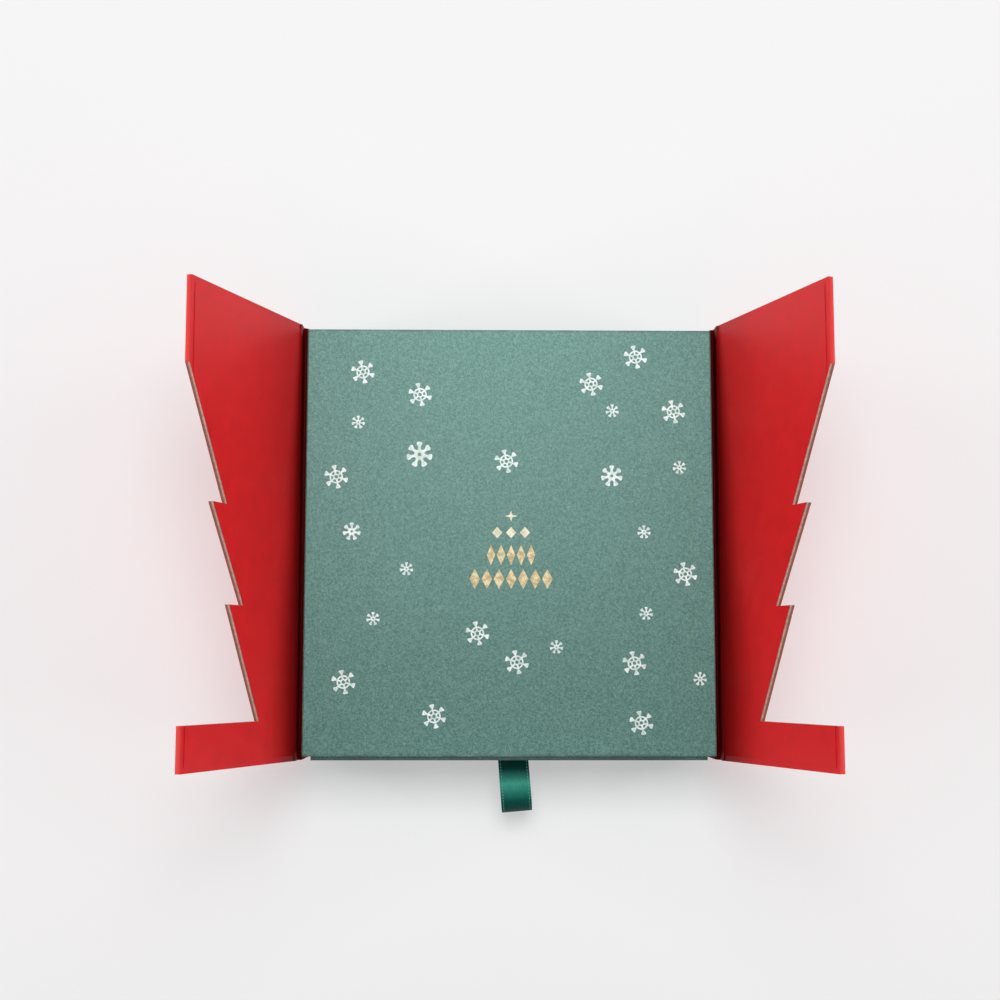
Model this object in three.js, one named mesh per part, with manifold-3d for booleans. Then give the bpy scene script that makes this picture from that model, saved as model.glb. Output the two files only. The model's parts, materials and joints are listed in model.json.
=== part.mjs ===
// A gift box: a red case whose two doors are die-cut with half a fir tree each, a green
// sleeve glued inside the case, and a drawer that slides out of the sleeve on a ribbon loop.
// Millimetres, +Z up. The origin is the middle of the case's underside and the drawer
// opens towards -Y. The doors stand open and the drawer stands a little way out.

import * as THREE from "three";
import { mergeVertices } from "three/addons/utils/BufferGeometryUtils.js";
import Module from "manifold-3d";

// Driving sizes of the sleeve
const sleeveWidth = 200;
const sleeveLength = 209;
const sleeveHeight = 48;
const sleeveEdgeRadius = 0.8;
const sleeveEdgeSteps = 5;

// Boards, papers and the film of glue between them
const boardThickness = 2;
const drawerBoardThickness = 1.5;
const paperThickness = 0.16;
const glueFilm = 0.06;
const turnIn = 14;
const drawerTurnIn = 8;
const overrun = 1;

// Case round the sleeve
const caseOverhang = 2;
const sideGap = 0.3;
const sideDrop = 7;
const baseLiningInset = 1.35;

// Doors and their paper hinges
const leftDoorOpening = THREE.MathUtils.degToRad(111);
const rightDoorOpening = THREE.MathUtils.degToRad(109);
const shutGap = 0.3;
const meetingGap = 0.6;
const hingeRise = 0.4;
const hingePaperSetback = 0.5;
const hingeBoardSetback = 1.4;
const liningInset = 2.7;

// Half tree cut from each door, in tiers from the tip down. Each row is the tier's start and
// foot as shares of the door's length, then its half width there as shares of the door's width.
const treeTierShares = [
  [0.179, 0.4522, 0, 0.3291],
  [0.4522, 0.6612, 0.2111, 0.4863],
  [0.6612, 0.9065, 0.366, 0.6452],
];

// Closing magnets, set into the boards
const magnetRadius = 5;
const magnetThickness = 1.5;
const magnetClearance = 0.2;
const magnetFromEdge = 11;
const magnetSides = 32;

// Drawer and its running clearances
const drawerOut = 2;
const drawerBackGap = 0.3;
const drawerSideGap = 1.6;
const drawerRunGap = 0.3;
const drawerTopGap = 1;
const drawerLiningDrop = 3;

// Ribbon pull
const ribbonWidth = 15;
const ribbonThickness = 0.4;
const ribbonGap = 0.3;
const ribbonClearance = 0.4;
const ribbonOffset = 2.2;
const ribbonTail = 10;
const ribbonReach = 27;
const ribbonDroop = 7;
const ribbonCrown = 3;
const ribbonBelly = 9;
const ribbonNose = 2.2;
const ribbonLeanShare = 0.08;
const ribbonTopBendShares = [0.3, 0.8];
const ribbonBottomBendShares = [0.6, 0.25];
const ribbonSteps = 12;

// Levels and half widths that follow from the sizes above
const skin = paperThickness + glueFilm;
const baseBoardBottom = skin;
const baseBoardTop = baseBoardBottom + boardThickness;
const sleeveBottom = baseBoardTop + skin + glueFilm;
const sleeveTop = sleeveBottom + sleeveHeight;
const sleeveHalfWidth = sleeveWidth / 2;
const sleeveHalfLength = sleeveLength / 2;
const caseHalfLength = sleeveHalfLength + caseOverhang;
const sideLiningX = sleeveHalfWidth + sideGap;
const sideBoardX = sideLiningX + skin;
const sideTop = sleeveTop - sideDrop;
const hingeX = sideBoardX + boardThickness + skin;
const hingeZ = sleeveTop + shutGap + hingeRise;
const doorWidth = hingeX - meetingGap / 2;
const doorLength = caseHalfLength * 2;

const wasm = await Module();
wasm.setup();

// A closed geometry as a solid that can be joined and cut
function toSolid(geometry) {
  const bare = geometry.clone();
  bare.deleteAttribute("normal");
  bare.deleteAttribute("uv");
  const merged = mergeVertices(bare);
  return new wasm.Manifold(new wasm.Mesh({
    numProp: 3,
    vertProperties: new Float32Array(merged.attributes.position.array),
    triVerts: new Uint32Array(merged.index.array),
  }));
}

function toGeometry(solid) {
  const mesh = solid.getMesh();
  const geometry = new THREE.BufferGeometry();
  geometry.setAttribute("position", new THREE.BufferAttribute(mesh.vertProperties, 3));
  geometry.setIndex(new THREE.BufferAttribute(mesh.triVerts, 1));
  geometry.computeVertexNormals();
  return geometry;
}

// A block between two corners, each given as [x, y, z]
function block(low, high) {
  const size = high.map((value, axis) => value - low[axis]);
  const middle = high.map((value, axis) => (value + low[axis]) / 2);
  return new THREE.BoxGeometry(...size).translate(...middle);
}

// A flat outline in X and Y, pushed up from one level to another
function sheet(points, low, high) {
  const outline = new THREE.Shape(points.map(([x, y]) => new THREE.Vector2(x, y)));
  const geometry = new THREE.ExtrudeGeometry(outline, { depth: high - low, bevelEnabled: false });
  return geometry.translate(0, 0, low);
}

// The corners of a box, drawn in by some distance on every side
function inset(box, distance) {
  return [box[0].map((value) => value + distance), box[1].map((value) => value - distance)];
}

// The same box with one of its six sides moved outwards
function moveSide(box, end, axis, distance) {
  const moved = [[...box[0]], [...box[1]]];
  moved[end][axis] += end === 1 ? distance : -distance;
  return moved;
}

// Paper round the boards of an open box. It covers the outside and the rim, and is turned in
// over the rim by some depth. The open side is the low or high end of one axis.
function wrapPaper(outside, box, board, end, axis, depth) {
  const inFace = skin + board + glueFilm;
  const mouthOuter = inset(box, inFace);
  const mouthInner = inset(box, inFace + paperThickness);
  const reach = inFace + paperThickness + overrun;
  const flange = moveSide(mouthOuter, end, axis, inFace);
  flange[1 - end][axis] = box[end][axis] + (end === 1 ? -depth : depth);
  return toSolid(outside)
    .subtract(toSolid(block(...inset(box, paperThickness))))
    .add(toSolid(block(...flange)))
    .subtract(toSolid(block(...moveSide(mouthInner, end, axis, reach))));
}

// Materials
const finishes = {
  redPaper: new THREE.MeshStandardMaterial({ color: 0xc2211b, roughness: 0.55, metalness: 0 }),
  greenPaper: new THREE.MeshStandardMaterial({ color: 0x4b7a6c, roughness: 0.42, metalness: 0.1 }),
  innerPaper: new THREE.MeshStandardMaterial({ color: 0xe9e5da, roughness: 0.8, metalness: 0 }),
  greyBoard: new THREE.MeshStandardMaterial({ color: 0xb08b76, roughness: 0.9, metalness: 0 }),
  satin: new THREE.MeshStandardMaterial({ color: 0x0f5a45, roughness: 0.35, metalness: 0 }),
  magnet: new THREE.MeshStandardMaterial({ color: 0xb9bcc0, roughness: 0.3, metalness: 1 }),
};

const giftBox = new THREE.Group();

function addPiece(group, name, geometry, finish) {
  const mesh = new THREE.Mesh(geometry, finishes[finish]);
  mesh.name = name;
  group.add(mesh);
}

// Case: base board between its two papers, and a board standing at each side
const baseHalfWidth = sideBoardX - glueFilm;
const baseBoardHalfLength = caseHalfLength - skin;
addPiece(giftBox, "base_board", block(
  [-baseHalfWidth, -baseBoardHalfLength, baseBoardBottom],
  [baseHalfWidth, baseBoardHalfLength, baseBoardTop],
), "greyBoard");

// The base's red paper covers the underside and both end faces
const baseBox = [
  [-baseHalfWidth, -caseHalfLength, 0],
  [baseHalfWidth, caseHalfLength, baseBoardTop],
];
const baseTrough = [
  [-baseHalfWidth - overrun, -baseBoardHalfLength - glueFilm, paperThickness],
  [baseHalfWidth + overrun, baseBoardHalfLength + glueFilm, baseBoardTop + overrun],
];
addPiece(giftBox, "base_wrap", toGeometry(
  toSolid(block(...baseBox)).subtract(toSolid(block(...baseTrough))),
), "redPaper");
addPiece(giftBox, "base_lining", block(
  [-sideLiningX, -caseHalfLength + baseLiningInset, baseBoardTop + glueFilm],
  [sideLiningX, caseHalfLength - baseLiningInset, baseBoardTop + skin],
), "redPaper");

for (const [name, side] of [["left", -1], ["right", 1]]) {
  const across = (near, far) => (side > 0 ? [near, far] : [-far, -near]);

  const [boardLow, boardHigh] = across(sideBoardX, sideBoardX + boardThickness);
  addPiece(giftBox, `${name}_side_board`, block(
    [boardLow, -baseBoardHalfLength, baseBoardBottom],
    [boardHigh, baseBoardHalfLength, sideTop],
  ), "greyBoard");

  // The outer paper goes on above the board as the free half of the hinge
  const [wrapLow, wrapHigh] = across(sideBoardX, hingeX);
  const [troughLow, troughHigh] = across(sideBoardX - overrun, hingeX - paperThickness);
  const sideWrap = toSolid(block([wrapLow, -caseHalfLength, 0], [wrapHigh, caseHalfLength, hingeZ]))
    .subtract(toSolid(block(
      [troughLow, -baseBoardHalfLength - glueFilm, paperThickness],
      [troughHigh, baseBoardHalfLength + glueFilm, hingeZ + overrun],
    )))
    .subtract(toSolid(block(
      [troughLow, -caseHalfLength - overrun, sideTop],
      [troughHigh, caseHalfLength + overrun, hingeZ + overrun],
    )));
  addPiece(giftBox, `${name}_side_wrap`, toGeometry(sideWrap), "redPaper");

  // The lining stands on the board's inner face and is folded over its top edge
  const [sheetLow, sheetHigh] = across(sideLiningX, sideLiningX + paperThickness);
  const [ledgeLow, ledgeHigh] = across(sideLiningX, hingeX - skin);
  const liningBottom = baseBoardTop + skin + glueFilm;
  const sideLining = toSolid(block(
    [sheetLow, -baseBoardHalfLength, liningBottom],
    [sheetHigh, baseBoardHalfLength, sideTop + skin],
  )).add(toSolid(block(
    [ledgeLow, -baseBoardHalfLength, sideTop + glueFilm],
    [ledgeHigh, baseBoardHalfLength, sideTop + skin],
  )));
  addPiece(giftBox, `${name}_side_lining`, toGeometry(sideLining), "redPaper");
}

// Sleeve: five boards that leave the near end open, in one green paper
const sleeveBox = [
  [-sleeveHalfWidth, -sleeveHalfLength, sleeveBottom],
  [sleeveHalfWidth, sleeveHalfLength, sleeveTop],
];
const [sleeveLow, sleeveHigh] = inset(sleeveBox, skin);
const sleeveFaceLow = sleeveLow.map((value) => value + boardThickness);
const sleeveFaceHigh = sleeveHigh.map((value) => value - boardThickness);

// Places of the magnets in a door: distance from the hinge axis, and place along the box
const armLength = doorLength * treeTierShares[0][0];
const barLength = doorLength * (1 - treeTierShares[2][1]);
const magnetReach = doorWidth - magnetFromEdge;
const armMiddle = caseHalfLength - armLength / 2;
const barMiddle = -caseHalfLength + barLength / 2;
const magnetPlaces = [["far", magnetReach, armMiddle], ["near", magnetReach, barMiddle]];

function disc(radius, thickness, x, y, z) {
  return new THREE.CylinderGeometry(radius, radius, thickness, magnetSides)
    .rotateX(Math.PI / 2)
    .translate(x, y, z);
}

// Magnet seats go right through a board, and the papers on both sides close them
function drillMagnetSeats(board, places, thickness) {
  let drilled = toSolid(board);
  for (const [x, y, z] of places) {
    const seat = disc(magnetRadius + magnetClearance, thickness + 2 * overrun, x, y, z);
    drilled = drilled.subtract(toSolid(seat));
  }
  return toGeometry(drilled);
}

const sleeveMagnetZ = sleeveHigh[2] - boardThickness / 2;
const sleeveMagnets = [];
for (const [name, side] of [["left", -1], ["right", 1]]) {
  for (const [end, reach, y] of magnetPlaces) {
    sleeveMagnets.push([`sleeve_magnet_${name}_${end}`, side * (hingeX - reach), y, sleeveMagnetZ]);
  }
}
for (const [name, x, y, z] of sleeveMagnets) {
  addPiece(giftBox, name, disc(magnetRadius, magnetThickness, x, y, z), "magnet");
}

addPiece(giftBox, "sleeve_top_board", drillMagnetSeats(
  block([sleeveLow[0], sleeveLow[1], sleeveFaceHigh[2]], sleeveHigh),
  sleeveMagnets.map(([, ...place]) => place),
  boardThickness,
), "greyBoard");
addPiece(giftBox, "sleeve_bottom_board", block(
  sleeveLow,
  [sleeveHigh[0], sleeveHigh[1], sleeveFaceLow[2]],
), "greyBoard");
addPiece(giftBox, "sleeve_back_board", block(
  [sleeveLow[0], sleeveFaceHigh[1], sleeveFaceLow[2] + glueFilm],
  [sleeveHigh[0], sleeveHigh[1], sleeveFaceHigh[2] - glueFilm],
), "greyBoard");
for (const [name, low, high] of [
  ["left", sleeveLow[0], sleeveFaceLow[0]],
  ["right", sleeveFaceHigh[0], sleeveHigh[0]],
]) {
  addPiece(giftBox, `sleeve_${name}_board`, block(
    [low, sleeveLow[1], sleeveFaceLow[2] + glueFilm],
    [high, sleeveFaceHigh[1] - glueFilm, sleeveFaceHigh[2] - glueFilm],
  ), "greyBoard");
}

// A box with its four long edges rounded, standing along Y
function roundedBox(low, high, radius) {
  const outline = new THREE.Shape();
  outline.absarc(high[0] - radius, high[2] - radius, radius, 0, Math.PI / 2);
  outline.absarc(low[0] + radius, high[2] - radius, radius, Math.PI / 2, Math.PI);
  outline.absarc(low[0] + radius, low[2] + radius, radius, Math.PI, Math.PI * 1.5);
  outline.absarc(high[0] - radius, low[2] + radius, radius, Math.PI * 1.5, Math.PI * 2);
  const depth = high[1] - low[1];
  const settings = { depth, bevelEnabled: false, curveSegments: sleeveEdgeSteps };
  return new THREE.ExtrudeGeometry(outline, settings)
    .rotateX(Math.PI / 2)
    .translate(0, high[1], 0);
}

addPiece(giftBox, "sleeve_wrap", toGeometry(wrapPaper(
  roundedBox(...sleeveBox, sleeveEdgeRadius), sleeveBox, boardThickness, 0, 1, turnIn,
)), "greenPaper");

// Doors, each a group that turns about its hinge. Inside the group, distances run from the
// hinge axis towards the free edge, and up through the door as it lies when shut.
const liningBottomN = -hingeRise;
const turnInBottomN = liningBottomN + skin;
const doorBoardBottomN = turnInBottomN + skin;
const doorBoardTopN = doorBoardBottomN + boardThickness;
const doorTopN = doorBoardTopN + skin;

// The door's outline, drawn in from the straight edges by some distance. The stepped edge of
// the half tree stays where it is, because it is cut after the papers are glued on.
function doorOutline(direction, hingeEdge, drawnIn) {
  const free = doorWidth - drawnIn;
  const along = (share) => caseHalfLength - doorLength * share;
  const points = [
    [hingeEdge, -caseHalfLength + drawnIn],
    [hingeEdge, caseHalfLength - drawnIn],
    [free, caseHalfLength - drawnIn],
  ];
  for (const [start, foot, tipShare, footShare] of treeTierShares) {
    const tip = doorWidth * (1 - tipShare);
    const inner = doorWidth * (1 - footShare);
    const slope = (along(start) - along(foot)) / (tip - inner);
    const from = Math.min(tip, free);
    points.push([from, along(foot) + (from - inner) * slope]);
    points.push([inner, along(foot)]);
  }
  points.push([free, along(treeTierShares[2][1])]);
  points.push([free, -caseHalfLength + drawnIn]);
  return points.map(([reach, y]) => [direction * reach, y]);
}

for (const [name, side, opening] of [
  ["left", -1, leftDoorOpening],
  ["right", 1, rightDoorOpening],
]) {
  const door = new THREE.Group();
  door.position.set(side * hingeX, 0, hingeZ);
  door.rotation.y = side * opening;
  giftBox.add(door);
  const direction = -side;
  const spread = (near, far) => (direction > 0 ? [near, far] : [-far, -near]);

  // Board, with its magnets let in
  const places = magnetPlaces.map(([, reach, y]) => (
    [direction * reach, y, doorBoardBottomN + boardThickness / 2]
  ));
  const board = sheet(doorOutline(direction, hingeBoardSetback, skin), doorBoardBottomN, doorBoardTopN);
  addPiece(door, `${name}_door_board`, drillMagnetSeats(board, places, boardThickness), "greyBoard");
  places.forEach((place, index) => {
    const magnet = disc(magnetRadius, magnetThickness, ...place);
    addPiece(door, `${name}_door_magnet_${magnetPlaces[index][0]}`, magnet, "magnet");
  });

  // Red paper on the outer face, round the straight edges and turned in behind them
  const [coreLow, coreHigh] = spread(-overrun, doorWidth - paperThickness);
  const [bareLow, bareHigh] = spread(-overrun, doorWidth - turnIn);
  const coreEnd = caseHalfLength - paperThickness;
  const bareEnd = caseHalfLength - turnIn;
  const wrap = toSolid(sheet(doorOutline(direction, hingePaperSetback, 0), turnInBottomN, doorTopN))
    .subtract(toSolid(block(
      [coreLow, -coreEnd, doorBoardBottomN - glueFilm],
      [coreHigh, coreEnd, doorBoardTopN + glueFilm],
    )))
    .subtract(toSolid(block(
      [bareLow, -bareEnd, turnInBottomN - overrun],
      [bareHigh, bareEnd, doorBoardBottomN],
    )));
  addPiece(door, `${name}_door_wrap`, toGeometry(wrap), "redPaper");

  // Lining on the inner face, short of the straight edges
  const lining = doorOutline(direction, hingePaperSetback, liningInset);
  addPiece(door, `${name}_door_lining`,
    sheet(lining, liningBottomN, liningBottomN + paperThickness), "redPaper");
}

// Drawer: a tray of five boards in green paper outside and pale paper inside
const [mouthLow, mouthHigh] = inset(sleeveBox, skin + boardThickness + skin);
const [mouthLeft, , mouthFloor] = mouthLow;
const [mouthRight, , mouthCeiling] = mouthHigh;
const drawerBack = sleeveFaceHigh[1] - drawerBackGap - drawerOut;
const drawerFront = -sleeveHalfLength - drawerOut;
const drawerBox = [
  [mouthLeft + drawerSideGap, drawerFront, mouthFloor + drawerRunGap],
  [mouthRight - drawerSideGap, drawerBack, mouthCeiling - drawerTopGap],
];
const [trayLow, trayHigh] = inset(drawerBox, skin);
const trayFaceLow = trayLow.map((value) => value + drawerBoardThickness);
const trayFaceHigh = trayHigh.map((value) => value - drawerBoardThickness);
const wallBottom = trayFaceLow[2] + glueFilm;
addPiece(giftBox, "drawer_bottom_board", block(
  trayLow,
  [trayHigh[0], trayHigh[1], trayFaceLow[2]],
), "greyBoard");
addPiece(giftBox, "drawer_back_board", block(
  [trayLow[0], trayFaceHigh[1], wallBottom],
  trayHigh,
), "greyBoard");
for (const [name, low, high] of [
  ["left", trayLow[0], trayFaceLow[0]],
  ["right", trayFaceHigh[0], trayHigh[0]],
]) {
  addPiece(giftBox, `drawer_${name}_board`, block(
    [low, trayFaceLow[1] + glueFilm, wallBottom],
    [high, trayFaceHigh[1] - glueFilm, trayHigh[2]],
  ), "greyBoard");
}

// The slot in the drawer's front, which both runs of the ribbon pass through
const slotZ = (drawerBox[0][2] + drawerBox[1][2]) / 2;
const runOffset = (ribbonGap + ribbonThickness) / 2;
const slotHalfHeight = runOffset + ribbonThickness / 2 + ribbonClearance;
const slotHalfWidth = ribbonWidth / 2 + ribbonClearance;
const slot = block(
  [ribbonOffset - slotHalfWidth, drawerFront - overrun, slotZ - slotHalfHeight],
  [ribbonOffset + slotHalfWidth, trayFaceLow[1] + overrun, slotZ + slotHalfHeight],
);
addPiece(giftBox, "drawer_front_board", toGeometry(toSolid(block(
  [trayLow[0], trayLow[1], wallBottom],
  [trayHigh[0], trayFaceLow[1], trayHigh[2]],
)).subtract(toSolid(slot))), "greyBoard");
addPiece(giftBox, "drawer_wrap", toGeometry(wrapPaper(
  block(...drawerBox), drawerBox, drawerBoardThickness, 1, 2, drawerTurnIn,
).subtract(toSolid(slot))), "greenPaper");

// Lining of the drawer, a thin tray that also covers the ribbon's tails on the front wall
const [trayLeft, trayFront, trayFloor] = trayFaceLow;
const [trayRight, trayBack] = trayFaceHigh;
const overTurnIn = skin + glueFilm;
const overTail = overTurnIn + ribbonThickness + glueFilm;
const liningRim = mouthCeiling - drawerTopGap - drawerLiningDrop;
const liningOuter = [
  [trayLeft + overTurnIn, trayFront + overTail, trayFloor + glueFilm],
  [trayRight - overTurnIn, trayBack - overTurnIn, liningRim],
];
const liningInner = moveSide(inset(liningOuter, paperThickness), 1, 2, paperThickness + overrun);
addPiece(giftBox, "drawer_lining", toGeometry(
  toSolid(block(...liningOuter)).subtract(toSolid(block(...liningInner))),
), "innerPaper");

// Ribbon pull: one strip that starts as a tail behind the front wall, runs out through the slot,
// turns back in a drooping loop, and ends as a second tail. Its line is drawn from the side,
// as distance out from the drawer's front and height over the slot.
const tailOut = -(trayFaceLow[1] - drawerFront) - glueFilm - ribbonThickness / 2;
const nose = new THREE.Vector2(ribbonReach, -ribbonDroop);
const topBends = ribbonTopBendShares.map((share) => ribbonReach * share);
const bottomBends = ribbonBottomBendShares.map((share) => ribbonReach * share);
const ribbonLine = new THREE.CurvePath();
ribbonLine.add(new THREE.CubicBezierCurve(
  new THREE.Vector2(0, runOffset),
  new THREE.Vector2(topBends[0], runOffset + ribbonCrown),
  new THREE.Vector2(topBends[1], runOffset + ribbonCrown),
  new THREE.Vector2(nose.x, nose.y + ribbonNose),
));
ribbonLine.add(new THREE.CubicBezierCurve(
  new THREE.Vector2(nose.x, nose.y + ribbonNose),
  new THREE.Vector2(nose.x + ribbonNose / 2, nose.y),
  new THREE.Vector2(nose.x, nose.y - ribbonNose),
  new THREE.Vector2(nose.x - ribbonNose, nose.y - ribbonNose),
));
ribbonLine.add(new THREE.CubicBezierCurve(
  new THREE.Vector2(nose.x - ribbonNose, nose.y - ribbonNose),
  new THREE.Vector2(bottomBends[0], -ribbonBelly),
  new THREE.Vector2(bottomBends[1], -runOffset),
  new THREE.Vector2(0, -runOffset),
));

const ribbonPath = [
  new THREE.Vector2(tailOut, runOffset + ribbonTail),
  new THREE.Vector2(tailOut, runOffset),
];
for (const curve of ribbonLine.curves) {
  const points = curve.getPoints(ribbonSteps);
  ribbonPath.push(...(curve === ribbonLine.curves[0] ? points : points.slice(1)));
}
ribbonPath.push(
  new THREE.Vector2(tailOut, -runOffset),
  new THREE.Vector2(tailOut, -runOffset - ribbonTail),
);

// The two faces of a strip of even thickness along a line of points, mitred at each bend
function stripOutline(path, thickness) {
  const faces = [[], []];
  path.forEach((point, index) => {
    const before = path[Math.max(index - 1, 0)];
    const after = path[Math.min(index + 1, path.length - 1)];
    const arriving = point.clone().sub(before).normalize();
    const leaving = after.clone().sub(point).normalize();
    if (index === 0) arriving.copy(leaving);
    if (index === path.length - 1) leaving.copy(arriving);
    const normal = new THREE.Vector2(-arriving.y - leaving.y, arriving.x + leaving.x).normalize();
    const mitre = thickness / 2 / (-arriving.y * normal.x + arriving.x * normal.y);
    faces[0].push(point.clone().addScaledVector(normal, mitre));
    faces[1].unshift(point.clone().addScaledVector(normal, -mitre));
  });
  return [...faces[0], ...faces[1]];
}

// The strip is drawn flat, then stood up so that its width runs along X, and it leans aside
// as it comes out, as the pull does when it has been handled.
const ribbon = new THREE.ExtrudeGeometry(
  new THREE.Shape(stripOutline(ribbonPath, ribbonThickness)),
  { depth: ribbonWidth, bevelEnabled: false },
);
const ribbonPoints = ribbon.attributes.position;
for (let index = 0; index < ribbonPoints.count; index += 1) {
  const out = ribbonPoints.getX(index);
  const up = ribbonPoints.getY(index);
  const across = ribbonWidth / 2 - ribbonPoints.getZ(index);
  const lean = Math.max(out, 0) * ribbonLeanShare;
  ribbonPoints.setXYZ(index, ribbonOffset + across + lean, drawerFront - out, slotZ + up);
}
addPiece(giftBox, "ribbon_pull", toGeometry(toSolid(ribbon)), "satin");

export default giftBox;
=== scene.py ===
import json
import math

import bmesh
import bpy
from mathutils import Matrix, Vector


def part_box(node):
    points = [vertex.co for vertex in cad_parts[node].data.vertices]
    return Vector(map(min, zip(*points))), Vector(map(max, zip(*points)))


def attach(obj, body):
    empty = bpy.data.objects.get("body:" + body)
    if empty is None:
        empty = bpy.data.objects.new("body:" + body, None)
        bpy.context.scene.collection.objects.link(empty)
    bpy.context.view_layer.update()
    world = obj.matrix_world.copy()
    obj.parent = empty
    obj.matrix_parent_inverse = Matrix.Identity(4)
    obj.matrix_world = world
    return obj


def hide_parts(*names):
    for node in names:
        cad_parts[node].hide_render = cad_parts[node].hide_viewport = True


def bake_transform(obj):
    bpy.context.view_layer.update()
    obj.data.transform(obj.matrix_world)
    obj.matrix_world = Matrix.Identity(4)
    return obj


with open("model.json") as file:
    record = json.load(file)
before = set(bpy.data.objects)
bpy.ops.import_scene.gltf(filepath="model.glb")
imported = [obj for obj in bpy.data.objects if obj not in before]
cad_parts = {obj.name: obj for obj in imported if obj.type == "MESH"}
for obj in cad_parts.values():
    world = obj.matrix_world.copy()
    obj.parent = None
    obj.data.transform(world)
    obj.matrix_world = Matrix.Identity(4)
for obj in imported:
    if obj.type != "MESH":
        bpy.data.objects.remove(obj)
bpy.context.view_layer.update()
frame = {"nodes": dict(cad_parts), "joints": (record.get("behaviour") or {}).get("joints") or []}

# Camera: it looks straight down on the open box from about 0.78 m above the table, slightly
# tilted towards the far end, as the photograph was taken. Its turns are in radians.
MM = 0.001
camera_place = (-16.66 * MM, -63.49 * MM, 782.67 * MM)
camera_tilt, camera_yaw, camera_roll = 0.113, -0.0162, 0.0024
camera_turn = (
    Matrix.Rotation(camera_tilt, 3, "X")
    @ Matrix.Rotation(camera_yaw, 3, "Y")
    @ Matrix.Rotation(camera_roll, 3, "Z")
)


def placed(name, data):
    """An object of that name for the data, in the scene."""
    made = bpy.data.objects.new(name, data)
    bpy.context.collection.objects.link(made)
    return made


camera_data = bpy.data.cameras.new("camera")
camera_data.sensor_width = 36
camera_data.lens = 54.14
camera_data.clip_start, camera_data.clip_end = 0.02, 50
camera = placed("camera", camera_data)
camera.location = camera_place
camera.rotation_euler = camera_turn.to_euler()
bpy.context.scene.camera = camera
bpy.context.scene.view_settings.view_transform = "Standard"

# Table: one large pale sheet of studio paper under the box, and a pale room behind it that the
# foil can mirror. The camera sees both a little whiter than they light the box.
floor_half, floor_drop, floor_whitening = 6.0, 0.02 * MM, 0.3
room_light, room_seen = 0.22, 0.93


def node(tree, kind, sockets=None, **settings):
    """A new node, with its settings, and with each named socket linked or set."""
    made = tree.nodes.new(kind)
    for setting, value in settings.items():
        setattr(made, setting, value)
    for socket, value in (sockets or {}).items():
        if isinstance(value, bpy.types.NodeSocket):
            tree.links.new(value, made.inputs[socket])
        else:
            made.inputs[socket].default_value = value
    return made


def worked(tree, operation, one, other):
    """One value worked on by another, such as multiplied or divided by it."""
    return node(tree, "ShaderNodeMath", {0: one, 1: other}, operation=operation).outputs[0]


floor_mesh = bpy.data.meshes.new("floor")
floor_mesh.from_pydata(
    [(x * floor_half, y * floor_half, -floor_drop) for x, y in ((-1, -1), (1, -1), (1, 1), (-1, 1))],
    [], [(0, 1, 2, 3)])
floor = placed("floor", floor_mesh)
floor_paper = bpy.data.materials.new("studio_paper")
floor_paper.use_nodes = True
floor_tree = floor_paper.node_tree
floor_shader = floor_tree.nodes["Principled BSDF"]
floor_shader.inputs["Base Color"].default_value = (0.92, 0.92, 0.925, 1)
floor_shader.inputs["Roughness"].default_value = 0.9
floor_white = node(floor_tree, "ShaderNodeEmission", {"Color": (0.97, 0.97, 0.98, 1)})
floor_rays = node(floor_tree, "ShaderNodeLightPath").outputs
floor_seen = node(floor_tree, "ShaderNodeMixShader", {
    "Fac": worked(floor_tree, "MULTIPLY", floor_rays["Is Camera Ray"], floor_whitening),
    1: floor_shader.outputs[0], 2: floor_white.outputs[0]})
floor_tree.links.new(floor_seen.outputs[0], floor_tree.nodes["Material Output"].inputs["Surface"])
floor_mesh.materials.append(floor_paper)

world = bpy.data.worlds.new("studio_room")
bpy.context.scene.world = world
world.use_nodes = True
room_tree = world.node_tree
room_lighting = room_tree.nodes["Background"]
room_lighting.inputs["Color"].default_value = (1, 1, 1, 1)
room_lighting.inputs["Strength"].default_value = room_light
room_showing = node(room_tree, "ShaderNodeBackground", {"Strength": room_seen})
room_rays = node(room_tree, "ShaderNodeLightPath").outputs
room_mix = node(room_tree, "ShaderNodeMixShader", {
    "Fac": worked(room_tree, "MAXIMUM", room_rays["Is Camera Ray"], room_rays["Is Glossy Ray"]),
    1: room_lighting.outputs[0], 2: room_showing.outputs[0]})
room_tree.links.new(room_mix.outputs[0], room_tree.nodes["World Output"].inputs["Surface"])

# Lamps: a soft lamp overhead on the far side, and a long soft lamp low on each side, which
# reaches the upper part of the opposite door and leaves its foot in shade.
for lamp_name, lamp_place, lamp_size, lamp_watts in (
        ("overhead", (0.0, 0.31, 1.1), (0.5, 0.5), 5.9),
        ("left_low", (-1.5, 0.0, 0.46), (1.2, 0.25), 14.5),
        ("right_low", (1.5, 0.0, 0.46), (1.2, 0.25), 14.5)):
    lamp_data = bpy.data.lights.new(lamp_name, "AREA")
    lamp_data.shape = "RECTANGLE"
    lamp_data.size, lamp_data.size_y = lamp_size
    lamp_data.energy = lamp_watts
    lamp = placed(lamp_name, lamp_data)
    lamp.location = lamp_place
    lamp.rotation_euler = (-Vector(lamp_place)).to_track_quat("-Z", "Y").to_euler()

# Case: one sheet of satin red cover paper, glued round the base board and the two side boards and
# turned in over the base board's ends, up to the base lining. The paper has a fine fibre grain, a
# faint mottle and the soft gloss of its coating.
satin_red = {"dark": (0.53, 0.0018, 0.0045), "light": (0.64, 0.003, 0.007),
             "mottle_size": 8 * MM, "grain_size": 0.22 * MM, "grain_depth": 0.02 * MM,
             "roughness": 0.42, "gloss": 0.3, "spread": 0.16}


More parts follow.
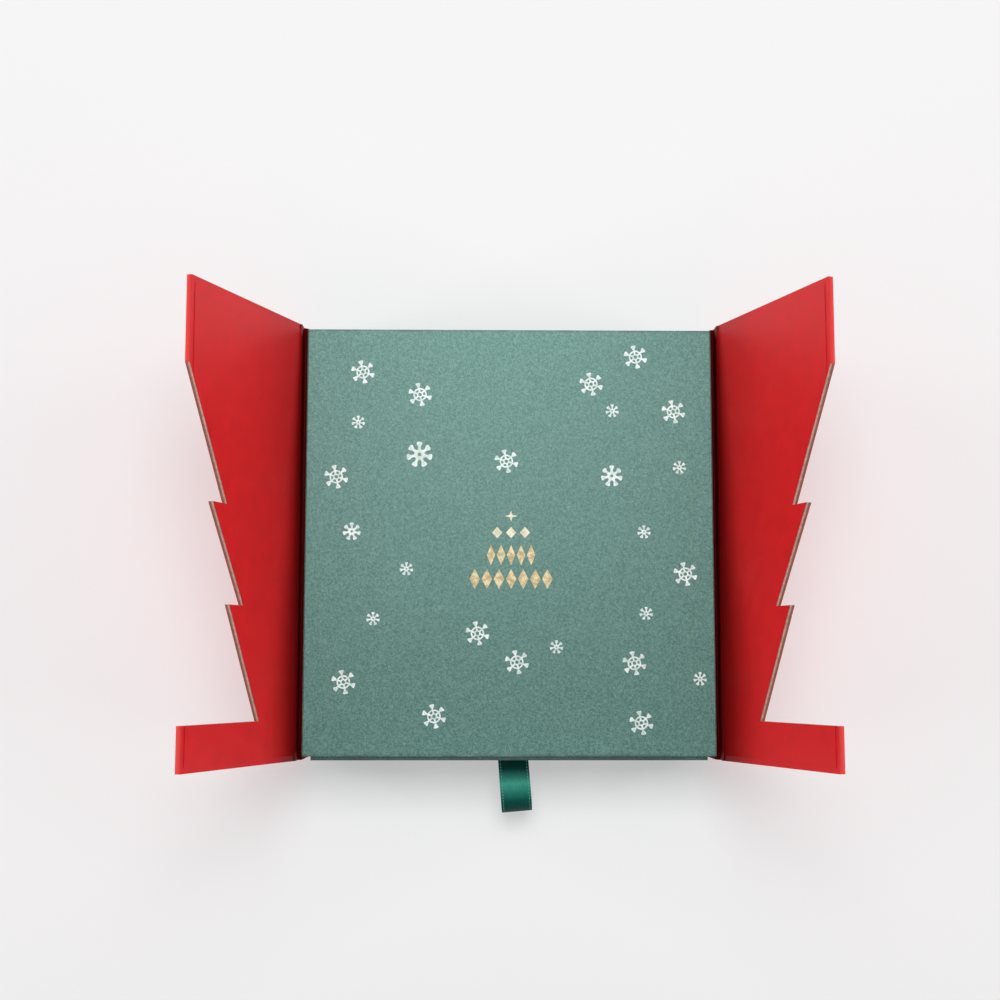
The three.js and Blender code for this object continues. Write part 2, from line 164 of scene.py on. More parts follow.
def ramp(tree, share, *stops):
    """A colour ramp over that share, through stops of a position and a colour each."""
    made = node(tree, "ShaderNodeValToRGB", {"Fac": share})
    tones = made.color_ramp.elements
    (tones[0].position, first), (tones[1].position, last) = stops[0], stops[-1]
    tones[0].color, tones[1].color = (*first, 1), (*last, 1)
    for position, tone in stops[1:-1]:
        tones.new(position).color = (*tone, 1)
    return made.outputs["Color"]


def carried(tree, value, start, end, first=0.0, last=1.0):
    """The value, carried over from the range start to end onto first to last, and kept within that."""
    return node(tree, "ShaderNodeMapRange", {
        "Value": value, "From Min": start, "From Max": end,
        "To Min": first, "To Max": last}).outputs["Result"]


def place_in(tree):
    """The place on the piece, for a pattern in its material."""
    return node(tree, "ShaderNodeTexCoord").outputs["Object"]


def paper(name, dark, light, mottle_size, grain_size, grain_depth, roughness, gloss, spread=0.1, curl=0.0):
    """A cover paper: its colour wanders between dark and light, and its fibres stand up a little."""
    usual_fibre, roughness_spread = 0.26, 0.06
    material = bpy.data.materials.new(name)
    material.use_nodes = True
    tree = material.node_tree
    place = place_in(tree)
    mottle = node(tree, "ShaderNodeTexNoise", {
        "Vector": place, "Scale": 1 / mottle_size, "Detail": 4, "Distortion": curl}).outputs["Fac"]
    grain = node(tree, "ShaderNodeTexNoise", {
        "Vector": place, "Scale": 1 / grain_size, "Detail": 3, "Roughness": 0.65}).outputs["Fac"]
    fibres = worked(tree, "MULTIPLY", mottle, grain)
    colour = ramp(tree, fibres, (usual_fibre - spread, dark), (usual_fibre + spread, light))
    dull = carried(tree, mottle, 0, 1, roughness - roughness_spread, roughness + roughness_spread)
    raised = node(tree, "ShaderNodeBump", {"Height": grain, "Strength": 1, "Distance": grain_depth})
    shader = tree.nodes["Principled BSDF"]
    tree.links.new(colour, shader.inputs["Base Color"])
    tree.links.new(dull, shader.inputs["Roughness"])
    tree.links.new(raised.outputs["Normal"], shader.inputs["Normal"])
    shader.inputs["Specular IOR Level"].default_value = gloss
    return material


def cover(material, *covered):
    """These CAD nodes take that finish."""
    for name in covered:
        mesh = frame["nodes"][name].data
        mesh.materials.clear()
        mesh.materials.append(material)


def new_piece(name, mesh, material, smooth=True):
    """An object for the mesh, which holds its place, in that material."""
    mesh.materials.append(material)
    for face in mesh.polygons:
        face.use_smooth = smooth
    return placed(name, mesh)


red_paper = paper("satin_red_cover_paper", **satin_red)
cover(red_paper, "base_wrap", "base_lining", "left_side_wrap", "right_side_wrap")

turn_in_across, lining_end, lining_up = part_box("base_lining")[1]
sheet_end, board_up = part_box("base_wrap")[1][1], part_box("base_board")[1][2]
turn_in_sunk = 0.04 * MM
turn_in_up = lining_up - turn_in_sunk
turn_in_shape = bmesh.new()
for end in (-1, 1):
    middle = Vector((0, end * (lining_end + sheet_end) / 2, (board_up + turn_in_up) / 2))
    sizes = (2 * turn_in_across, sheet_end - lining_end, turn_in_up - board_up, 1)
    bmesh.ops.create_cube(turn_in_shape, size=1, matrix=Matrix.Translation(middle) @ Matrix.Diagonal(sizes))
turn_in_mesh = bpy.data.meshes.new("base_turn_ins")
turn_in_shape.to_mesh(turn_in_mesh)
turn_in_shape.free()
turn_ins = new_piece("base_turn_ins", turn_in_mesh, red_paper, smooth=False)
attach(turn_ins, "case")

# Boards: greyboard under the papers, die-cut, so that the doors' raw edge shows along the tree.
# It is pressed from waste paper in layers, brownish with darker and paler fibres, and the layers
# on the doors' inner side are painted the palest, a painted highlight along the cut edge.
pulp = {"mottle_size": 1.6 * MM, "grain_size": 0.12 * MM, "grain_depth": 0.05 * MM,
        "roughness": 0.85, "gloss": 0.2}
greyboard = paper("raw_greyboard", (0.30, 0.14, 0.105), (0.62, 0.36, 0.28), **pulp)
cover(greyboard, *(name for name in frame["nodes"] if name.endswith("_board")))
hinge_joints = {joint["name"]: joint for joint in frame["joints"]}
door_board_inside, door_board_thickness = 0.04 * MM, 2.0 * MM
layer_and_highlight_tones = ((0.0, (0.80, 0.40, 0.34)), (0.42, (0.66, 0.36, 0.29)), (0.56, (0.25, 0.12, 0.09)),
               (0.78, (0.34, 0.17, 0.13)), (1.0, (0.24, 0.10, 0.075)))


def door_level(tree, place, side, start, end):
    """The share of the way through an open door, from start to end, both from its hinge axis outwards."""
    joint = hinge_joints[f"{side}_door_hinge"]
    opening = math.radians(-joint["range_deg"][0])
    sign = -1 if side == "left" else 1
    through = Vector((sign * math.sin(opening), 0, math.cos(opening)))
    level = node(tree, "ShaderNodeVectorMath", {0: place, 1: through}, operation="DOT_PRODUCT")
    axis_level = through.dot(Vector(joint["pos_m"]))
    return carried(tree, level.outputs["Value"], axis_level + start, axis_level + end)


def tint(material, tone):
    """Multiplies a material's colour by that tone."""
    shader = material.node_tree.nodes["Principled BSDF"]
    own_colour = shader.inputs["Base Color"].links[0].from_socket
    tinted = node(material.node_tree, "ShaderNodeVectorMath", {0: own_colour, 1: tone}, operation="MULTIPLY")
    material.node_tree.links.new(tinted.outputs["Vector"], shader.inputs["Base Color"])


for side in ("left", "right"):
    layered = paper(f"raw_greyboard_{side}_door", (0.62, 0.62, 0.62), (1, 1, 1), **pulp)
    tree = layered.node_tree
    depth_share = door_level(
        tree, place_in(tree), side, door_board_inside, door_board_inside + door_board_thickness)
    # The doors' cut edges: tones through the board, palest at the inner side as a painted highlight.
    tint(layered, ramp(tree, depth_share, *layer_and_highlight_tones))
    cover(layered, f"{side}_door_board")

# Sleeve: green pearl paper glued round its five boards and turned in at the mouth. The paper is
# mottled at the size of its fibres, with a low pearl lustre, and its folds across are darker in patches.
pearl = {"dark": (0.057, 0.152, 0.130), "light": (0.142, 0.288, 0.250),
         "mottle_size": 1.0 * MM, "grain_size": 0.3 * MM, "grain_depth": 0.04 * MM,
         "roughness": 0.43, "gloss": 0.4, "spread": 0.055, "curl": 1.2}
pearl_lustre, fold_patch_size, fold_patch_range = 0.28, 9 * MM, (0.35, 0.65)


def stain(material, colour, share):
    """Lays that colour over a material's own, by that share."""
    shader = material.node_tree.nodes["Principled BSDF"]
    own_colour = shader.inputs["Base Color"].links[0].from_socket
    stained = node(material.node_tree, "ShaderNodeMixRGB", {
        "Fac": share, "Color1": own_colour, "Color2": (*colour, 1)})
    material.node_tree.links.new(stained.outputs["Color"], shader.inputs["Base Color"])


def cover_in_pearl(covered, fold_width, fold_dark_colour, least_fold_dark, most_fold_dark):
    """Covers a box-shaped CAD node in pearl paper, darker in patches along its folds from left to right."""
    material = paper(f"green_pearl_paper_{covered}", **pearl)
    tree = material.node_tree
    tree.nodes["Principled BSDF"].inputs["Metallic"].default_value = pearl_lustre
    low, high = (Vector(corner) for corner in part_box(covered))
    half = (high - low) / 2
    place = place_in(tree)
    from_middle = node(tree, "ShaderNodeVectorMath", {0: place, 1: (low + high) / 2}, operation="SUBTRACT")
    outwards = node(tree, "ShaderNodeVectorMath", {0: from_middle.outputs[0]}, operation="ABSOLUTE")
    near_faces = node(tree, "ShaderNodeMapRange", {
        "Vector": outwards.outputs[0], "From Min": half - Vector([fold_width] * 3), "From Max": half},
        data_type="FLOAT_VECTOR")
    faces_near = node(tree, "ShaderNodeVectorMath", {
        0: near_faces.outputs["Vector"], 1: (0, 1, 1)}, operation="DOT_PRODUCT")
    on_fold = carried(tree, faces_near.outputs["Value"], 1.0, 2.0)
    fold_patches = node(tree, "ShaderNodeTexNoise", {"Vector": place, "Scale": 1 / fold_patch_size, "Detail": 5.0})
    fold_dark_share = carried(tree, fold_patches.outputs["Fac"], *fold_patch_range, least_fold_dark, most_fold_dark)
    stain(material, fold_dark_colour, worked(tree, "MULTIPLY", on_fold, fold_dark_share))
    cover(material, covered)


cover_in_pearl("sleeve_wrap", fold_width=1.5 * MM, fold_dark_colour=(0.045, 0.06, 0.055),
               least_fold_dark=0.15, most_fold_dark=0.9)

# Doors: satin red paper on both faces, turned over the board's straight edges, and die-cut with
# the board along the tree. The lining runs on over the hinge into the groove beside the sleeve.
# It is painted dark and less glossy there, a painted shade, and the wrap is painted pale along each
# door's free edge, a painted highlight. The painted shade reaches furthest up the doors at their near
# ends, and further up the right one.
crease_up = hinge_joints["left_door_hinge"]["pos_m"][2]
door_end, longest_reach, right_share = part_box("left_door_lining")[1][1], 40 * MM, 1.35
reach_shares = ((0.18, 0.78), (0.48, 0.45), (0.71, 0.32), (0.9, 0.2), (1.0, 0.12))
darkest_crease_shade = (0.16, 0.10, 0.10)
fading_crease_shades = ((0.25, 0.36), (0.5, 0.64), (0.75, 0.88), (1.0, 1.0))


def painted_crease_shade(tree, place):
    """A painted shade for the paper: dark at the crease, rising to 1 where the shade ends."""
    way = node(tree, "ShaderNodeSeparateXYZ", {"Vector": place}).outputs
    along = carried(tree, way["Y"], -door_end, door_end)
    reach_share = ramp(tree, along, *((position, (share, share, share)) for position, share in reach_shares))
    widest = carried(tree, way["X"], -door_end, door_end, longest_reach, longest_reach * right_share)
    reach = worked(tree, "MULTIPLY", reach_share, widest)
    height = worked(tree, "SUBTRACT", way["Z"], crease_up)
    return ramp(tree, worked(tree, "DIVIDE", height, reach), (0.0, darkest_crease_shade), *(
        (position, (tone, tone ** 2, tone ** 2)) for position, tone in fading_crease_shades))


# The linings of the doors and side walls are painted dark near the crease, a painted shade, and their gloss
# is lowered by the same shade.
lining_red = paper("satin_red_lining_paper", **satin_red)
lining_tree = lining_red.node_tree
lining_crease_shade = painted_crease_shade(lining_tree, place_in(lining_tree))
tint(lining_red, lining_crease_shade)
lining_shade_gloss = worked(lining_tree, "MULTIPLY", lining_crease_shade, satin_red["gloss"])
lining_tree.links.new(lining_shade_gloss, lining_tree.nodes["Principled BSDF"].inputs["Specular IOR Level"])
cover(lining_red, "left_door_lining", "right_door_lining", "left_side_lining", "right_side_lining")

margin_start, margin_end = 0.5 * MM, 1.0 * MM
# The pale strip along each door's free edge is a painted highlight.
edge_highlight_width, edge_highlight_fade, edge_highlight_red = 1.1 * MM, 0.33 * MM, (0.80, 0.05, 0.04)
edge_highlight_start, edge_highlight_end = -0.5 * MM, 2.1 * MM
for side in ("left", "right"):
    door_paper = paper(f"satin_red_paper_{side}_door", **satin_red)
    tree = door_paper.node_tree
    place = place_in(tree)
    # The wrap's turned-in margin on the door's inner face takes the same painted crease shade.
    margin_crease_shade = node(tree, "ShaderNodeMixRGB", {
        "Fac": door_level(tree, place, side, margin_start, margin_end),
        "Color1": painted_crease_shade(tree, place), "Color2": (1, 1, 1, 1)})
    tint(door_paper, margin_crease_shade.outputs["Color"])
    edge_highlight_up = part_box(f"{side}_door_wrap")[1][2] - edge_highlight_width
    way_up = node(tree, "ShaderNodeSeparateXYZ", {"Vector": place}).outputs["Z"]
    by_edge = carried(tree, way_up, edge_highlight_up - edge_highlight_fade, edge_highlight_up + edge_highlight_fade)
    outside = door_level(tree, place, side, edge_highlight_start, edge_highlight_end)
    # Painted highlight: the wrap is painted paler along the door's free edge, on its outer side.
    stain(door_paper, edge_highlight_red, worked(tree, "MULTIPLY", by_edge, outside))
    cover(door_paper, f"{side}_door_wrap")

# Hinge papers: at each door the case's red sheet bridges from the side wall to the door's outer
# face. The lining comes up from the side board's top against it and bridges inside. Both stay
# free of the boards.
hinge_end, ledge_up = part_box("left_side_wrap")[1][1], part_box("left_side_lining")[1][2]
hinge_paper_thickness, hinge_rows, steps_between = 0.1 * MM, 24, 5


def rounded(corners):
    """A smooth line through the corners, as paper bends, by the Catmull-Rom rule."""
    line = []
    ends = [corners[0] * 2 - corners[1], *corners, corners[-1] * 2 - corners[-2]]
    for before, start, end, after in zip(ends, ends[1:], ends[2:], ends[3:]):
        for step in range(steps_between):
            t = step / steps_between
            line.append(0.5 * (2 * start + (end - before) * t
                               + (2 * before - 5 * start + 4 * end - after) * t ** 2
                               + (3 * start - before - 3 * end + after) * t ** 3))
    return line + [corners[-1]]


def on_door(joint, reach, level):
    """A point of the open door, by its reach from the hinge and its level through the board."""
    opening = math.radians(-joint["range_deg"][0])
    return Vector((abs(joint["pos_m"][0]) - reach * math.cos(opening) + level * math.sin(opening),
                   joint["pos_m"][2] + reach * math.sin(opening) + level * math.cos(opening)))


def sheet_mesh(name, rows):
    """A single sheet through rows of points, each row with as many points."""
    wide = len(rows[0])
    mesh = bpy.data.meshes.new(name)
    mesh.from_pydata(
        [point for row in rows for point in row], [],
        [(row * wide + i, row * wide + i + 1, (row + 1) * wide + i + 1, (row + 1) * wide + i)
         for row in range(len(rows) - 1) for i in range(wide - 1)])
    return mesh


def thicken(piece, thickness):
    """Gives a single sheet its thickness, half to each side."""
    wall = piece.modifiers.new("thickness", "SOLIDIFY")
    wall.thickness = thickness
    wall.offset = 0


for side, sign in (("left", -1), ("right", 1)):
    joint = hinge_joints[f"{side}_door_hinge"]
    crease = Vector(joint["pos_m"])
    axis = Vector((abs(crease.x), crease.z))
    ledge = Vector((axis.x, ledge_up))
    outer_line = rounded([
        *(axis + Vector(way) * MM for way in ((0.06, -2.4), (0.07, -0.9), (0.42, -0.02), (1.5, -0.25))),
        on_door(joint, 0.75 * MM, 2.34 * MM),
        on_door(joint, 2.4 * MM, 2.33 * MM)])
    inner_line = rounded([
        *(ledge + Vector(way) * MM for way in ((-1.6, 0.1), (-0.75, 0.12), (-0.27, 0.7), (-0.27, 1.6))),
        *(axis + Vector(way) * MM for way in ((-0.26, -1.4), (-0.26, -0.3))),
        on_door(joint, 0.6 * MM, -0.5 * MM),
        on_door(joint, 2.2 * MM, -0.5 * MM)])
    for layer, material, line, way, start, end in (
            ("outer", red_paper, outer_line, Vector((sign, 0, 0)), 0.1 * MM, 0.9 * MM),
            ("inner", lining_red, inner_line, Vector((0, 0, 1)), -0.3 * MM, 0.4 * MM)):
        name = f"{side}_hinge_paper_{layer}"
        rows = [[(sign * out, -hinge_end + 2 * hinge_end * row / hinge_rows, up) for out, up in line]
                for row in range(hinge_rows + 1)]
        piece = new_piece(name, sheet_mesh(name, rows), material)
        thicken(piece, hinge_paper_thickness)
        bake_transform(piece)

# Magnets: nickel-plated discs, let into the boards under the papers. Each door has two, over two
# in the sleeve's top board, which hold it shut.
nickel = paper("nickel_plating", (0.5, 0.5, 0.52), (0.7, 0.7, 0.72), mottle_size=3 * MM,
               grain_size=0.1 * MM, grain_depth=0.004 * MM, roughness=0.3, gloss=0.5)
nickel.node_tree.nodes["Principled BSDF"].inputs["Metallic"].default_value = 1
cover(nickel, *(name for name in frame["nodes"] if "_magnet_" in name))

# Drawer: green pearl paper outside and over the rim, with its folds painted darker than the sleeve's
# as painted shade, and a pale matt lining glued inside.
# Painted shade: the drawer's folds, its front edges among them, are painted near-black all along.
cover_in_pearl("drawer_wrap", fold_width=2.0 * MM, fold_dark_colour=(0.02, 0.032, 0.028),
               least_fold_dark=0.7, most_fold_dark=1.0)
pale_lining = paper("pale_lining_paper", (0.80, 0.775, 0.71), (0.86, 0.84, 0.78), mottle_size=5 * MM,
                    grain_size=0.3 * MM, grain_depth=0.03 * MM, roughness=0.75, gloss=0.3)
cover(pale_lining, "drawer_lining")

# Ribbon pull: one strip of 15 mm satin ribbon. Its two ends are glued behind the drawer's front,
# and the loop comes out through a slot, rises a little, bends over and comes back underneath.
ribbon_width, ribbon_thickness = 15 * MM, 0.3 * MM
slot_across, slot_up = 2.2 * MM, 26.15 * MM
drawer_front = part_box("drawer_wrap")[0][1]
run_apart, tail_in, tail_turn, tail_length = 0.35 * MM, -1.98 * MM, 1.0 * MM, 10 * MM
nose_out, nose_down, nose_turn = 26.2 * MM, -7 * MM, 2.2 * MM
# The loop's upper run bulges up by the crown and its lower run down by the belly. It leans to
# the right on its way out, it is cupped across, and its nose is a little askew.
crown, belly, lean_share, cup, nose_skew = 8 * MM, 9 * MM, 0.08, 0.35 * MM, 0.024
rise_share, crown_share, belly_share, fall_share = 0.36, 0.84, 0.6, 0.25
run_steps, nose_steps, slot_steps, tail_steps, ribbon_columns = 18, 12, 8, 6, 14


def bend(start, start_pull, end_pull, end, steps):
    """A stretch of ribbon on a cubic curve, without its last point."""
    line = []
    for step in range(steps):
        t = step / steps
        line.append(start * (1 - t) ** 3 + start_pull * 3 * t * (1 - t) ** 2
                    + end_pull * 3 * t ** 2 * (1 - t) + end * t ** 3)
    return line


def on_tail(up):
    """A point of the ribbon's glued ends behind the drawer's front, by its height from the slot."""
    return Vector((tail_in, up))


slot_top, slot_foot = Vector((0, run_apart)), Vector((0, -run_apart))
over_nose = Vector((nose_out, nose_down + nose_turn))
under_nose = Vector((nose_out - nose_turn, nose_down - nose_turn))
inside_top, inside_foot = on_tail(run_apart), on_tail(-run_apart)
ribbon_line = [
    *bend(on_tail(tail_length), on_tail(tail_length * 0.6), on_tail(tail_length * 0.3),
          on_tail(tail_turn), tail_steps),
    *bend(on_tail(tail_turn), inside_top, inside_top, slot_top, slot_steps),
    *bend(slot_top, Vector((nose_out * rise_share, run_apart)),
          Vector((nose_out * crown_share, run_apart + crown)), over_nose, run_steps),
    *bend(over_nose, Vector((nose_out + nose_turn / 2, nose_down)),
          Vector((nose_out, nose_down - nose_turn)), under_nose, nose_steps),
    *bend(under_nose, Vector((nose_out * belly_share, -belly)),
          Vector((nose_out * fall_share, -run_apart)), slot_foot, run_steps),
    *bend(slot_foot, inside_foot, inside_foot, on_tail(-tail_turn), slot_steps),
    *bend(on_tail(-tail_turn), on_tail(-tail_length * 0.3), on_tail(-tail_length * 0.6),
          on_tail(-tail_length), tail_steps),
    on_tail(-tail_length),
]
run = [0.0]
for before, after in zip(ribbon_line, ribbon_line[1:]):
    run.append(run[-1] + (after - before).length)
ribbon_length, front_run = run[-1], run[ribbon_line.index(slot_top)]


def ribbon_place(across_share, point):
    """A point of the ribbon; across_share is -1 at its left edge and 1 at its right edge."""
    free = max(point[0], 0)
    sag = cup * across_share ** 2 * min(free / (nose_out / 2), 1)
    return (slot_across + across_share * ribbon_width / 2 + free * lean_share,
            drawer_front - point[0] + free * nose_skew * across_share, slot_up + point[1] - sag)


shares_across = [2 * column / ribbon_columns - 1 for column in range(ribbon_columns + 1)]
ribbon_mesh = sheet_mesh(
    "satin_ribbon", [[ribbon_place(share, point) for share in shares_across] for point in ribbon_line])
ribbon_map = ribbon_mesh.uv_layers.new(name="weave")
for corner in ribbon_mesh.loops:
    row, column = divmod(corner.vertex_index, ribbon_columns + 1)
    ribbon_map.data[corner.index].uv = (shares_across[column] * ribbon_width / 2 / MM, run[row] / MM)

dark_thread, pale_thread, thread_depth = (0.018, 0.17, 0.13), (0.04, 0.30, 0.23), 0.03 * MM
thread_stretch = (7.0, 0.25, 1)
# Painted light along the ribbon's run, as tones of its colour: painted shade near the drawer's front, round
# the nose and under the loop, and a painted highlight over the crown.
painted_light_along_run = (
    (0, (0.05, 0.2, 0.2)), (5.5, (0.06, 0.22, 0.22)), (9, (0.75, 0.8, 0.8)),
    (12.5, (1.8, 1.48, 1.42)), (17, (0.75, 0.85, 0.85)), (21, (0.15, 0.35, 0.35)),
    (28, (0.08, 0.2, 0.2)), ((ribbon_length - front_run) / MM, (0.3, 0.45, 0.45)))
satin = bpy.data.materials.new("dark_green_satin")
satin.use_nodes = True
satin_tree = satin.node_tree
weave = node(satin_tree, "ShaderNodeUVMap", uv_map="weave").outputs["UV"]
thread_way = node(satin_tree, "ShaderNodeMapping", {"Vector": weave, "Scale": thread_stretch})
threads = node(satin_tree, "ShaderNodeTexNoise", {
    "Vector": thread_way.outputs["Vector"], "Scale": 1, "Detail": 3}).outputs["Fac"]
thread_bump = node(satin_tree, "ShaderNodeBump", {"Height": threads, "Distance": thread_depth})
satin_shader = satin_tree.nodes["Principled BSDF"]
satin_shader.inputs["Roughness"].default_value = 0.42
satin_shader.inputs["Specular IOR Level"].default_value = 0.04
satin_tree.links.new(ramp(satin_tree, threads, (0.3, dark_thread), (0.7, pale_thread)),
                     satin_shader.inputs["Base Color"])
satin_tree.links.new(thread_bump.outputs["Normal"], satin_shader.inputs["Normal"])
run_way = node(satin_tree, "ShaderNodeSeparateXYZ", {"Vector": weave}).outputs["Y"]
# The ribbon's colour is multiplied by the painted light along its run.
tint(satin, ramp(satin_tree, carried(satin_tree, run_way, 0, ribbon_length / MM), *(
    ((front_run + beyond * MM) / ribbon_length, tone) for beyond, tone in painted_light_along_run)))
ribbon = new_piece("satin_ribbon", ribbon_mesh, satin)
thicken(ribbon, ribbon_thickness)
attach(ribbon, "drawer")
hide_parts("ribbon_pull")

# Selvedges: the ribbon's woven edges, each with a row of picks that stand up a little about a
# millimetre in from the edge.
selvedge_share, selvedge_start = 0.86, 0.3 * MM


def new_tree(name, sizes, counts=()):
    """A geometry tree with a geometry input, an input for each size and count, and a material."""
    tree = bpy.data.node_groups.new(name, "GeometryNodeTree")
    tree.interface.new_socket("Geometry", in_out="INPUT", socket_type="NodeSocketGeometry")
    for size in sizes:
        tree.interface.new_socket(size, in_out="INPUT", socket_type="NodeSocketFloat")
    for count in counts:
        tree.interface.new_socket(count, in_out="INPUT", socket_type="NodeSocketInt")
    tree.interface.new_socket("Material", in_out="INPUT", socket_type="NodeSocketMaterial")
    tree.interface.new_socket("Geometry", in_out="OUTPUT", socket_type="NodeSocketGeometry")
    return tree, tree.nodes.new("NodeGroupInput").outputs


def finish_tree(tree, inputs, geometry):
    """Ends a tree with real geometry in its material."""
    real = node(tree, "GeometryNodeRealizeInstances", {"Geometry": geometry})
    coloured = node(tree, "GeometryNodeSetMaterial",
                    {"Geometry": real.outputs[0], "Material": inputs["Material"]})
    end = tree.nodes.new("NodeGroupOutput")
    tree.links.new(coloured.outputs[0], end.inputs[0])


def grow(name, seed_mesh, tree, values):
    """A piece with the plain mesh that the tree makes from the seed mesh with those input values."""
    seed = placed(f"{name}_seed", seed_mesh)
    growth = seed.modifiers.new("growth", "NODES")
    growth.node_group = tree
    for item in tree.interface.items_tree:
        if item.in_out == "INPUT" and item.name in values:
            growth[item.identifier] = values[item.name]
    evaluated = seed.evaluated_get(bpy.context.evaluated_depsgraph_get())
    mesh = bpy.data.meshes.new_from_object(evaluated)
    mesh.name = name
    bpy.data.objects.remove(seed)
    return placed(name, mesh)


selvedge_tree, selvedge_in = new_tree("selvedge_picks", ("Pitch", "Pick length", "Pick width", "Pick height"))
selvedge_line = node(selvedge_tree, "GeometryNodeMeshToCurve", {"Mesh": selvedge_in["Geometry"]})
selvedge_spots = node(selvedge_tree, "GeometryNodeCurveToPoints", {
    "Curve": selvedge_line.outputs[0], "Length": selvedge_in["Pitch"]}, mode="LENGTH")
pick_size = node(selvedge_tree, "ShaderNodeCombineXYZ", {
    "X": selvedge_in["Pick width"], "Y": selvedge_in["Pick length"], "Z": selvedge_in["Pick height"]})
pick = node(selvedge_tree, "GeometryNodeMeshCube", {"Size": pick_size.outputs[0]})
pick_turn = node(selvedge_tree, "FunctionNodeAlignRotationToVector", {
    "Vector": selvedge_spots.outputs["Tangent"]}, axis="Y", pivot_axis="X")
picks = node(selvedge_tree, "GeometryNodeInstanceOnPoints", {
    "Points": selvedge_spots.outputs["Points"], "Instance": pick.outputs["Mesh"],
    "Rotation": pick_turn.outputs[0]})
finish_tree(selvedge_tree, selvedge_in, picks.outputs[0])

selvedge_thread = paper("selvedge_thread", (0.03, 0.24, 0.19), (0.18, 0.50, 0.42), mottle_size=0.9 * MM,
                        grain_size=0.15 * MM, grain_depth=0.02 * MM, roughness=0.5, gloss=0.3)
free_line = [point for point in ribbon_line if point[0] > selvedge_start]
selvedge_seed = bpy.data.meshes.new("selvedge_lines")
selvedge_seed.from_pydata(
    [ribbon_place(share, point) for share in (-selvedge_share, selvedge_share) for point in free_line],
    [(first + i, first + i + 1) for first in (0, len(free_line)) for i in range(len(free_line) - 1)], [])
selvedge = grow("ribbon_selvedge", selvedge_seed, selvedge_tree, {
    "Pitch": 1.5 * MM, "Pick length": 0.75 * MM, "Pick width": 0.4 * MM,
    "Pick height": 0.42 * MM, "Material": selvedge_thread})
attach(selvedge, "drawer")

# Snowflakes: silver foil, hot-pressed into the green paper. They come in three stamps, each pressed
# in many places: one with six arms round a pierced hub, and a large and a small one with seven arms.
green_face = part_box("sleeve_wrap")[1][2]
foil_thickness, foil_sunk, foil_layer, foil_wear = 0.025 * MM, 0.006 * MM, 0.003 * MM, 2.5 * MM
arm_into_head, corner_rounding, foil_join = 0.2, 0.6, 0.0001 * MM


def foil(name, dull, bright):
    """Pressed foil: bright metal, dulled here and there where it took badly on the paper's grain."""
    material = paper(name, dull, bright, mottle_size=foil_wear, grain_size=0.3 * MM,
                     grain_depth=0.03 * MM, roughness=0.55, gloss=0.4, spread=0.07)
    material.node_tree.nodes["Principled BSDF"].inputs["Metallic"].default_value = 0.4
    return material


silver = foil("silver_foil", (0.54, 0.63, 0.60), (0.85, 0.95, 0.92))
foil_tree, foil_in = new_tree(
    "foil_snowflake",
    ("Reach", "Arm width", "Arm start", "Head depth", "Head width", "Head opening share",
     "Hub radius", "Hub width", "Eye radius", "Eye width", "Foil thickness"), ("Arms",))


def subtract(tree, one, other):
    """One size less another."""
    return worked(tree, "SUBTRACT", one, other)


def scaled(tree, one, other):
    """One size times another."""
    return worked(tree, "MULTIPLY", one, other)


def joined(tree, *shapes):
    """Those shapes as one."""
    made = node(tree, "GeometryNodeJoinGeometry")
    for shape in shapes:
        tree.links.new(shape, made.inputs[0])
    return made.outputs[0]


def filled(tree, outline):
    """A flat shape inside that outline."""
    return node(tree, "GeometryNodeFillCurve", {"Curve": outline}).outputs[0]


def moved(tree, geometry, forward, layer):
    """The geometry, moved outwards along an arm and up by so many layers."""
    way = node(tree, "ShaderNodeCombineXYZ", {"Y": forward, "Z": layer * foil_layer})
    return node(tree, "GeometryNodeTransform", {
        "Geometry": geometry, "Translation": way.outputs[0]}).outputs[0]


def ring(tree, radius, width, layer):
    """A flat ring of foil, from its outer radius inwards."""
    circles = joined(tree, *(
        node(tree, "GeometryNodeCurvePrimitiveCircle", {"Resolution": 24, "Radius": size}).outputs[0]
        for size in (radius, subtract(tree, radius, width))))
    return moved(tree, filled(tree, circles), 0.0, layer)


def repeated(tree, places, shape, **ways):
    """That shape at each of the places, turned or scaled in those ways."""
    return node(tree, "GeometryNodeInstanceOnPoints", {
        "Points": places, "Instance": shape, **ways}).outputs[0]


arm_length = subtract(foil_tree, subtract(foil_tree, foil_in["Reach"], foil_in["Arm start"]),
                      scaled(foil_tree, foil_in["Head depth"], 1 - arm_into_head))
arm_outline = node(foil_tree, "GeometryNodeCurvePrimitiveQuadrilateral", {
    "Width": foil_in["Arm width"], "Height": arm_length}, mode="RECTANGLE")
arm_middle = worked(foil_tree, "ADD", foil_in["Arm start"], scaled(foil_tree, arm_length, 0.5))
arm = moved(foil_tree, filled(foil_tree, arm_outline.outputs[0]), arm_middle, 0)
head_outlines = []
for share in (1.0, foil_in["Head opening share"]):
    head_outline = node(foil_tree, "GeometryNodeCurvePrimitiveQuadrilateral", {
        "Bottom Width": scaled(foil_tree, foil_in["Arm width"], share),
        "Top Width": scaled(foil_tree, foil_in["Head width"], share),
        "Height": scaled(foil_tree, foil_in["Head depth"], share), "Offset": 0.0}, mode="TRAPEZOID")
    softened = node(foil_tree, "GeometryNodeFilletCurve", {
        "Curve": head_outline.outputs[0], "Count": 3,
        "Radius": scaled(foil_tree, foil_in["Arm width"], scaled(foil_tree, share, corner_rounding)),
        "Limit Radius": True}, mode="POLY")
    head_outlines.append(softened.outputs[0])
head_middle = subtract(foil_tree, foil_in["Reach"], scaled(foil_tree, foil_in["Head depth"], 0.5))
head = moved(foil_tree, filled(foil_tree, joined(foil_tree, *head_outlines)), head_middle, 1)
arm_spots = node(foil_tree, "GeometryNodeMeshLine", {"Count": foil_in["Arms"], "Offset": (0, 0, 0)})
